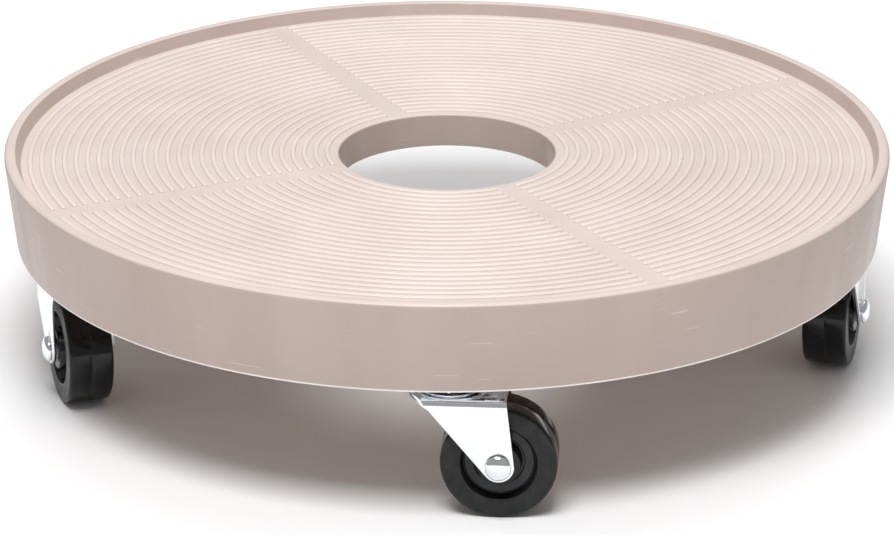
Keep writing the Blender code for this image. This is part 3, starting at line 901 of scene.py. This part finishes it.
@dataclass(frozen=True)
class Wheel:
    """A moulded wheel with a parting groove round its tread and a stepped recess in each face."""

    radius: float = 25.4 * MM
    half_width: float = 10.25 * MM
    shoulder: float = 1.5 * MM
    groove_depth: float = 0.35 * MM
    groove_half: float = 0.45 * MM
    step_radius: float = 16.2 * MM
    web: float = 5.75 * MM
    hub_radius: float = 9.8 * MM
    hub_half: float = 11.25 * MM
    bore: float = 4.8 * MM
    steps: int = 96
    groove_floor: float = 0.12 * MM
    groove_round: float = 0.08 * MM
    groove_lip: float = 0.25 * MM
    tread_fall: float = 0.02 * MM
    shoulder_run: float = 1.2 * MM
    rim: float = 0.55 * MM
    face_fall: float = 0.05 * MM
    rim_lean: float = 0.4 * MM
    draft: float = 0.1 * MM
    step_foot: float = 0.9 * MM
    fillet: float = 0.6 * MM
    fillet_rise: float = 0.5 * MM
    web_edge: float = 1.3 * MM
    web_rise: float = 0.35 * MM
    web_inner: float = 11.9 * MM
    bead: float = 11.5 * MM
    moat: float = 10.9 * MM
    hub_draft: float = 0.2 * MM
    hub_brow: float = 0.7 * MM
    hub_inset: float = 0.8 * MM
    hub_round: float = 0.5 * MM
    bore_edge: float = 0.4 * MM
    face_start: float = 0.7 * MM

    def half_profile(self) -> list[Flat]:
        """Draw the section of one face.

        Returns:
            Points as (radius, height), from the tread's middle to the bore.
        """
        radius = self.radius
        points = [(radius - self.groove_depth, self.groove_floor),
                  (radius - self.groove_round, self.groove_half),
                  (radius, self.groove_half + self.groove_lip)]
        points += [(radius - self.tread_fall, self.half_width - self.shoulder - self.shoulder_run)]
        centre = (radius - self.shoulder, self.half_width - self.shoulder)
        points += arc(centre, self.shoulder, 2.0, 84.0, 8)
        rim = self.rim
        points += [(radius - self.shoulder - self.shoulder_run, self.half_width - self.face_fall)]
        brow = (self.step_radius + rim + self.rim_lean, self.half_width - rim - self.face_fall)
        points += arc(brow, rim, 90.0, 170.0, 4)
        points += [(self.step_radius - self.draft, self.web + self.step_foot)]
        foot = (self.step_radius - self.step_foot, self.web + self.fillet_rise)
        points += arc(foot, self.fillet, 0.0, -80.0, 3)
        points += [(self.step_radius - self.web_edge, self.web + self.web_rise),
                   (self.web_inner, self.web + self.web_rise)]
        points += arc((self.bead, self.web + self.draft), self.web_rise, 60.0, 170.0, 3)
        points += [(self.moat, self.web - self.web_rise),
                   (self.hub_radius + self.web_rise, self.web - self.web_rise)]
        points += [(self.hub_radius + self.draft, self.web),
                   (self.hub_radius - self.hub_draft, self.hub_half - self.hub_brow)]
        crown = (self.hub_radius - self.hub_inset, self.hub_half - self.hub_round)
        points += arc(crown, self.hub_round, 10.0, 90.0, 3)
        points += [(self.bore + self.bore_edge, self.hub_half), (self.bore, self.hub_half - self.bore_edge)]
        return points

    def build(self) -> Thing:
        """Spin the wheel about Z and give its faces a duller finish than its tread.

        Returns:
            The wheel, about its own axis.
        """
        half = self.half_profile()
        profile = half + [(radius, -height) for radius, height in reversed(half)]
        wheel = Bench.turn("wheel_pattern", profile, self.steps)
        Bench.smooth(wheel, 40.0)
        Paints.fill(wheel, TREAD_POLYMER, FACE_POLYMER, WEB_POLYMER)
        for face in wheel.data.polygons:
            reach = math.hypot(face.center.x, face.center.y)
            if abs(face.normal.z) > 0.9:
                if reach > self.step_radius + self.face_start:
                    face.material_index = WheelPaint.FACE
                elif reach > self.hub_radius and abs(face.center.z) < self.web + self.fillet:
                    face.material_index = WheelPaint.WEB
        return wheel


@dataclass(frozen=True)
class Fork:
    """A fork bent from sheet: a round crown with a flare, and two tapering legs."""

    trail: float = 21.3 * MM
    axle_height: float = 25.4 * MM
    steel: float = 2.0 * MM
    bend: float = 3.6 * MM
    inside: float = 12.35 * MM
    outside: float = 14.35 * MM
    crown_top: float = 56.4 * MM
    crown_radius: float = 18.0 * MM
    crown_end: float = 24.0 * MM
    tip_radius: float = 6.8 * MM
    shoulder_x: float = -8.9 * MM
    shoulder_drop: float = 5.0 * MM
    pin_hole: float = 4.3 * MM
    axle_hole: float = 3.3 * MM
    over: float = 5.0 * MM
    edge: float = 0.28 * MM
    flare_run: tuple[Flat, ...] = ((0.66, 0.25 * MM), (0.58, 0.9 * MM))

    def build(self) -> Thing:
        """Cut the channel to its side view and its plan, and pierce it.

        Returns:
            The fork, with its swivel on Z and its trail along X.
        """
        low = self.axle_height - self.tip_radius - self.over
        curve = (self.outside - self.bend, self.crown_top - self.bend)
        right = [(self.outside, low)] + arc(curve, self.bend, 0.0, 90.0, 8)
        inside = arc(curve, self.bend - self.steel, 90.0, 0.0, 6) + [(self.inside, low)]
        section = right + [(-y, z) for y, z in reversed(right)]
        section += [(-y, z) for y, z in reversed(inside)] + inside
        reach = self.crown_radius + self.over
        fork = Bench.slab("fork_pattern", [(-reach, y, z) for y, z in section],
                          (reach + self.crown_end + self.over, 0.0, 0.0))
        wide = self.outside + self.over
        side = Bench.slab("side", [(x, -wide, z) for x, z in self._side_view()], (0.0, 2 * wide, 0.0))
        plan_outline = arc((0.0, 0.0), self.crown_radius, 90.0, 270.0, 32)
        plan_outline += [(self.crown_end + self.over, -self.crown_radius),
                         (self.crown_end + self.over, self.crown_radius)]
        plan = Bench.slab("plan", [(x, y, low - self.over) for x, y in plan_outline],
                          (0.0, 0.0, self.crown_top + 2 * self.over - low))
        Bench.combine(fork, Cut.KEEP_SHARED, [side])
        Bench.combine(fork, Cut.KEEP_SHARED, [plan])
        pin = Bench.bar("pin", self.pin_hole, low, self.crown_top + self.over, 36)
        axle = Bench.bar("axle", self.axle_hole, -wide, wide, 28)
        axle.data.transform(self.at_axle)
        Bench.combine(fork, Cut.TAKE, [pin, axle])
        Bench.soften(fork, self.edge, 2, 35.0)
        Bench.smooth(fork, 34.0)
        Paints.dress(fork, ZINC_SHEET)
        return fork

    @property
    def at_axle(self) -> Matrix:
        """The axle's place in the swivel's frame, its own Z along the swivel's Y."""
        return Matrix.Translation((self.trail, 0.0, self.axle_height)) @ ALONG_Y

    def _side_view(self) -> list[Flat]:
        """Draw the legs and the crown's flare as they are seen from the side.

        Returns:
            The outline, as (along the trail, height) points.
        """
        centre = (self.trail, self.axle_height)
        shoulder = (self.shoulder_x, self.crown_top - self.shoulder_drop)
        rear = (self.crown_end, self.crown_top + self.over)
        start = self._tangent(shoulder, centre, 1)
        end = self._tangent(rear, centre, -1) + 360.0
        flare = (-self.crown_radius - self.over, self.crown_top - self.steel * 1.5)
        points = arc(centre, self.tip_radius, start, end, 26)
        points += [rear, (flare[0], rear[1]), flare, (-self.crown_radius * 0.75, flare[1])]
        points += [(-self.crown_radius * share, flare[1] - drop) for share, drop in self.flare_run]
        return points + [shoulder]

    def _tangent(self, point: Flat, centre: Flat, side: int) -> float:
        """Find where a line from a point touches the leg's rounded tip.

        Args:
            point: Where the line comes from.
            centre: The tip's centre.
            side: 1 or -1, for either side of the tip.

        Returns:
            The angle about the centre, in degrees.
        """
        away = (point[0] - centre[0], point[1] - centre[1])
        opening = math.acos(self.tip_radius / math.hypot(*away))
        return math.degrees(math.atan2(away[1], away[0]) + side * opening)


@dataclass(frozen=True)
class Raceway:
    """Two flared cups with a ring of balls between them."""

    low: float = 56.7 * MM
    high: float = 61.9 * MM
    inner: float = 8.5 * MM
    outer: float = 14.5 * MM
    sheet: float = 1.0 * MM
    flare: tuple[Flat, ...] = (
        (1.8 * MM, 0.0), (0.7 * MM, 0.45 * MM), (0.0, 1.75 * MM), (0.75 * MM, 1.95 * MM))
    ball: float = 1.55 * MM
    ball_ring: float = 11.6 * MM
    balls: int = 16

    def _cup(self, name: str, floor: float, way: int) -> Thing:
        """Make one cup that flares away from a floor.

        Args:
            name: The new object's name.
            floor: The height of its flat.
            way: 1 for a cup that opens upwards, -1 for one that opens downwards.

        Returns:
            The cup, about Z.
        """
        rise = self.sheet
        points = [(self.inner, floor)]
        points += [(self.outer - inset, floor + way * up) for inset, up in self.flare]
        points += [(self.outer - 1.5 * MM, floor + way * (0.65 * MM + rise * 0.4)),
                   (self.outer - 2.1 * MM, floor + way * rise * 0.8),
                   (self.inner + 0.5 * MM, floor + way * rise),
                   (self.inner, floor + way * rise * 0.7)]
        return Bench.turn(name, points, 72)

    def build_lower(self) -> Thing:
        """Make the lower cup with its balls.

        Returns:
            The cup and balls as one piece, about Z.
        """
        parts = [self._cup("lower_race_pattern", self.low, 1)]
        height = (self.low + self.high) / 2
        for index in range(self.balls):
            turn = math.tau * index / self.balls
            place = (self.ball_ring * math.cos(turn), self.ball_ring * math.sin(turn), height)
            Bench.clear()
            bpy.ops.mesh.primitive_uv_sphere_add(segments=16, ring_count=10, radius=self.ball, location=place)
            bpy.ops.object.transform_apply(location=True, rotation=False, scale=False)
            parts.append(bpy.context.object)
        race = Bench.join("lower_race_pattern", parts)
        Bench.smooth(race, 40.0)
        Paints.dress(race, ZINC_PLATE)
        return race

    def build_upper(self) -> Thing:
        """Make the upper cup, which stays with the mounting plate.

        Returns:
            The cup, about Z.
        """
        race = self._cup("upper_race_pattern", self.high, -1)
        Bench.smooth(race, 40.0)
        Paints.dress(race, ZINC_PLATE)
        return race


@dataclass(frozen=True)
class Pin:
    """The kingpin, the wheel's axle, its sleeve and the mounting screws."""

    kingpin_radius: float = 4.0 * MM
    kingpin_head: float = 7.0 * MM
    kingpin_low: float = 54.1 * MM
    kingpin_high: float = 64.5 * MM
    kingpin_rise: float = 1.4 * MM
    axle_radius: float = 3.0 * MM
    axle_seat: float = 14.65 * MM
    head_radius: float = 5.7 * MM
    head_height: float = 2.8 * MM
    tail_radius: float = 4.6 * MM
    tail_height: float = 1.8 * MM
    sleeve_inner: float = 3.3 * MM
    sleeve_outer: float = 4.5 * MM
    sleeve_half: float = 12.05 * MM
    screw_radius: float = 1.9 * MM
    screw_head: float = 3.8 * MM
    screw_rise: float = 2.1 * MM
    screw_length: float = 13.0 * MM
    screw_seat: float = 61.9 * MM
    recess_half: float = 0.45 * MM
    sleeve_edge: float = 0.2 * MM
    thread_pitch: float = 1.1 * MM
    point_length: float = 2.2 * MM
    unthreaded: float = 3.0 * MM
    brim: float = 0.12

    def _dome(self, radius: float, seat: float, rise: float, way: int, steps: int) -> list[Flat]:
        """Draw a rounded head's section.

        Args:
            radius: The head's radius.
            seat: The height of its seat.
            rise: How far it stands off the seat.
            way: 1 for a head that rises, -1 for one that hangs.
            steps: Chords from the pole to the brim.

        Returns:
            Points as (radius, height), from the pole to the seat.
        """
        points = []
        for index in range(steps + 1):
            turn = math.radians(90.0 * index / steps)
            height = self.brim + (1.0 - self.brim) * math.cos(turn)
            points.append((radius * math.sin(turn), seat + way * rise * height))
        return points + [(radius, seat)]

    def build_kingpin(self) -> Thing:
        """Make the headed rivet through the crown, the cups and the plate.

        Returns:
            The kingpin, about Z.
        """
        points = self._dome(self.kingpin_head, self.kingpin_high, self.kingpin_rise, 1, 8)
        points += [(self.kingpin_radius, self.kingpin_high), (self.kingpin_radius, self.kingpin_low)]
        points += list(reversed(self._dome(self.kingpin_head, self.kingpin_low, self.kingpin_rise, -1, 8)))
        pin = Bench.turn("kingpin_pattern", points, 40)
        Bench.smooth(pin, 36.0)
        Paints.dress(pin, RIVET_STEEL)
        return pin

    def build_axle(self) -> Thing:
        """Make a rivet with a domed head at its high end and a flatter head at its low end.

        Returns:
            The axle, about Z.
        """
        points = self._dome(self.head_radius, self.axle_seat, self.head_height, 1, 12)
        points += [(self.axle_radius, self.axle_seat), (self.axle_radius, -self.axle_seat)]
        points += list(reversed(self._dome(self.tail_radius, -self.axle_seat, self.tail_height, -1, 8)))
        axle = Bench.turn("axle_pattern", points, 48)
        Bench.smooth(axle, 36.0)
        Paints.dress(axle, RIVET_STEEL)
        return axle

    def build_sleeve(self) -> Thing:
        """Make the plain tube in the wheel's bore.

        Returns:
            The sleeve, about Z.
        """
        edge = self.sleeve_edge
        half = self.sleeve_half
        upper = [(self.sleeve_outer, half - edge), (self.sleeve_outer - edge, half),
                 (self.sleeve_inner + edge, half), (self.sleeve_inner, half - edge)]
        points = upper + [(radius, -height) for radius, height in reversed(upper)]
        sleeve = Bench.turn("sleeve_pattern", points, 40)
        Bench.smooth(sleeve, 50.0)
        Paints.dress(sleeve, SLEEVE_STEEL)
        return sleeve

    def build_screw(self) -> Thing:
        """Make a pan-head screw with threads and a cross recess.

        Returns:
            The screw, with its shank upwards along Z.
        """
        seat = self.screw_seat
        tip = seat + self.screw_length
        shank = self.screw_radius
        points = [(0.0, tip), (shank * 0.35, tip - 0.6 * MM), (shank * 0.75, tip - 1.8 * MM)]
        pitch = self.thread_pitch
        turns = int((self.screw_length - self.unthreaded) / pitch)
        for index in range(turns):
            crest = tip - self.point_length - index * pitch
            points += [(shank, crest), (shank * 0.74, crest - pitch * 0.5)]
        points += [(shank * 0.8, seat), (self.screw_head, seat)]
        pan = ((1.0, 0.35), (0.93, 0.65), (0.75, 0.9), (0.5, 1.0), (0.0, 1.0))
        points += [(self.screw_head * out, seat - self.screw_rise * down) for out, down in pan]
        screw = Bench.turn("screw_pattern", points, 24)
        low = seat - self.screw_rise - MM
        arm = self.screw_head * 0.55
        bars = []
        for long, short in ((arm, self.recess_half), (self.recess_half, arm)):
            outline = [(a * long, b * short, low) for a, b in CORNERS]
            bars.append(Bench.slab("bar", outline, (0.0, 0.0, self.screw_rise * 0.6 + MM)))
        Bench.combine(screw, Cut.TAKE, bars)
        Bench.smooth(screw, 36.0)
        Paints.dress(screw, SCREW_STEEL)
        return screw


@dataclass(frozen=True)
class MountPlate:
    """The rectangular plate that carries a caster."""

    depth: float = 33.0 * MM
    length: float = 50.0 * MM
    corner: float = 4.5 * MM
    low: float = 62.2 * MM
    high: float = 64.2 * MM
    pin_hole: float = 4.3 * MM
    screw_hole: float = 2.2 * MM
    edge: float = 0.35 * MM

    def build(self, screw_places: list[Flat]) -> Thing:
        """Push out the plate, pierce it and round its edges.

        Args:
            screw_places: The screws' places in the seat's frame.

        Returns:
            The plate, in the seat's frame.
        """
        outline = [(x, y, self.low) for x, y in rounded_rectangle(self.depth, self.length, self.corner)]
        plate = Bench.slab("plate_pattern", outline, (0.0, 0.0, self.high - self.low))
        tools = []
        holes = [(self.pin_hole, (0.0, 0.0))] + [(self.screw_hole, place) for place in screw_places]
        for radius, (x, y) in holes:
            tool = Bench.bar("drill", radius, self.low - MM, self.high + MM, 28)
            tool.data.transform(Matrix.Translation((x, y, 0.0)))
            tools.append(tool)
        Bench.combine(plate, Cut.TAKE, tools)
        Bench.soften(plate, self.edge, 3)
        Bench.smooth(plate, 36.0)
        Paints.dress(plate, ZINC_PLATE)
        return plate


@dataclass(frozen=True)
class Caster:
    """A swivelling plate caster, built once and set under each of the disc's seats."""

    ring: float = 176.99 * MM
    spacing_depth: float = 22.0 * MM
    spacing_length: float = 37.0 * MM
    screw_turn: float = 37.0
    wheel: Wheel = Wheel()
    fork: Fork = Fork()
    raceway: Raceway = Raceway()
    pin: Pin = Pin()
    plate: MountPlate = MountPlate()

    def seat_frame(self, place: CasterPlace) -> Matrix:
        """Find the seat's frame: X along the disc's radius, the origin on the floor.

        Args:
            place: The caster's place.

        Returns:
            The frame.
        """
        turn = math.radians(place.around)
        centre = (self.ring * math.cos(turn), self.ring * math.sin(turn), 0.0)
        return Matrix.Translation(centre) @ Matrix.Rotation(turn, 4, "Z")

    def swivel_frame(self, place: CasterPlace) -> Matrix:
        """The swivel's frame: X along the trail, the origin on the floor."""
        centre = self.seat_frame(place).to_translation()
        return Matrix.Translation(centre) @ Matrix.Rotation(math.radians(place.heading), 4, "Z")

    def screw_places(self) -> list[Flat]:
        """Find the four screws' places in the seat's frame.

        Returns:
            Their places, in the order of their numbers.
        """
        depth = self.spacing_depth / 2
        length = self.spacing_length / 2
        return [(x, y) for x in (depth, -depth) for y in (length, -length)]

    def build(self) -> None:
        """Model each pattern once, then set a copy of it at every place."""
        patterns = {
            "mount_plate": self.plate.build(self.screw_places()),
            "kingpin": self.pin.build_kingpin(),
            "screw": self.pin.build_screw(),
            "race_upper": self.raceway.build_upper(),
            "race_lower": self.raceway.build_lower(),
            "fork": self.fork.build(),
            "axle": self.pin.build_axle(),
            "bushing": self.pin.build_sleeve(),
            "wheel": self.wheel.build(),
        }
        at_axle = self.fork.at_axle
        head_out = at_axle @ Matrix.Rotation(math.pi, 4, "X")
        for place in PLACES:
            seat = self.seat_frame(place)
            swivel = self.swivel_frame(place)
            turning = f"{place.name}_swivel"
            rolling = f"{place.name}_roller"
            self._set(patterns, "mount_plate", place, seat, "platform", "mount_plate")
            self._set(patterns, "kingpin", place, seat, "platform", "kingpin")
            self._set(patterns, "race_upper", place, seat, "platform", "")
            for index, (x, y) in enumerate(self.screw_places(), start=1):
                driven = Matrix.Rotation(math.radians(self.screw_turn * index), 4, "Z")
                spot = seat @ Matrix.Translation((x, y, 0.0)) @ driven
                self._set(patterns, "screw", place, spot, "platform", f"screw_{index}")
            self._set(patterns, "race_lower", place, swivel, turning, "ball_ring")
            self._set(patterns, "fork", place, swivel, turning, "fork")
            self._set(patterns, "axle", place, swivel @ head_out, turning, "axle")
            self._set(patterns, "bushing", place, swivel @ at_axle, turning, "bushing")
            self._set(patterns, "wheel", place, swivel @ at_axle, rolling, "wheel")
        for pattern in patterns.values():
            bpy.data.objects.remove(pattern, do_unlink=True)

    @staticmethod
    def _set(patterns: dict[str, Thing], kind: str, place: CasterPlace, spot: Matrix, body: str,
             node: str) -> None:
        """Set one copy of a pattern in its place.

        Args:
            patterns: The pieces that were modelled once.
            kind: Which of them to copy.
            place: The caster that the copy belongs to.
            spot: Where the copy stands.
            body: The body that it rides.
            node: The node that it replaces, without the caster's name, or nothing.
        """
        label = f"{place.name}_{node}_detail" if node else f"{place.name}_{kind}"
        thing = Bench.copy(patterns[kind], label, spot)
        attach(thing, body)
        if node:
            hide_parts(f"{place.name}_{node}")
        LOG.info("%s: %d faces", label, len(thing.data.polygons))


# ---- The room ------------------------------------------------------------------------------------
@dataclass(frozen=True)
class SoftLight:
    """A square soft light that faces the origin."""

    name: str
    place: Point
    size: float
    power: float

    def hang(self) -> None:
        """Add the light to the room."""
        lamp = bpy.data.lights.new(self.name, "AREA")
        lamp.shape = "SQUARE"
        lamp.size = self.size
        lamp.energy = self.power
        holder = bpy.data.objects.new(self.name, lamp)
        holder.location = self.place
        aim = Vector((0.0, 0.0, 0.0)) - Vector(self.place)
        holder.rotation_euler = aim.to_track_quat("-Z", "Y").to_euler()
        bpy.context.scene.collection.objects.link(holder)


@dataclass(frozen=True)
class Studio:
    """A pale floor, soft lights, and the camera on the disc's front."""

    camera_back: float = 2.0115
    camera_above_lip: float = 0.736
    camera_tilt: float = 68.32
    lens: float = 187.25
    sensor: float = 36.0
    floor_size: float = 14.0
    floor_colour: Point = (0.96, 0.96, 0.965)
    floor_roughness: float = 0.9
    room_light: float = 0.34
    lights: tuple[SoftLight, ...] = (
        SoftLight("front_key", (-0.15, -0.92, 1.95), 0.9, 35.0),
        SoftLight("back_key", (0.1, 0.75, 1.95), 1.2, 14.0))

    def build(self) -> None:
        """Lay the floor, hang the lights and set the camera."""
        self._floor()
        for light in self.lights:
            light.hang()
        self._world()
        self._camera()

    def _floor(self) -> None:
        """Lay a pale matte floor that reaches past every view."""
        Bench.clear()
        bpy.ops.mesh.primitive_plane_add(size=self.floor_size, location=(0.0, 0.0, 0.0))
        floor = bpy.context.object
        floor.name = "floor"
        paint = bpy.data.materials.new("floor_paint")
        paint.use_nodes = True
        shader = paint.node_tree.nodes["Principled BSDF"]
        shader.inputs["Base Color"].default_value = (*self.floor_colour, 1.0)
        shader.inputs["Roughness"].default_value = self.floor_roughness
        floor.data.materials.append(paint)

    def _world(self) -> None:
        """Fill the room with a weak even light."""
        world = bpy.data.worlds.new("studio")
        world.use_nodes = True
        background = world.node_tree.nodes["Background"]
        background.inputs["Color"].default_value = (1.0, 1.0, 1.0, 1.0)
        background.inputs["Strength"].default_value = self.room_light
        bpy.context.scene.world = world
        bpy.context.scene.view_settings.view_transform = "Standard"

    def _camera(self) -> None:
        """Set a long lens at the front, a little above the disc."""
        camera = bpy.data.cameras.new("camera")
        camera.lens = self.lens
        camera.sensor_width = self.sensor
        holder = bpy.data.objects.new("camera", camera)
        holder.location = (0.0, -self.camera_back, CAD_BOUNDS[1][2] + self.camera_above_lip)
        holder.rotation_euler = (math.radians(self.camera_tilt), 0.0, 0.0)
        bpy.context.scene.collection.objects.link(holder)
        bpy.context.scene.camera = holder


def main() -> None:
    """Build the room, the disc and the casters."""
    logging.basicConfig(level=logging.INFO, format="%(name)s: %(message)s")
    Studio().build()
    disc = Disc()
    caster = Caster()
    disc.build()
    Underside().build(disc, caster)
    caster.build()


if __name__ == "__main__":
    main()
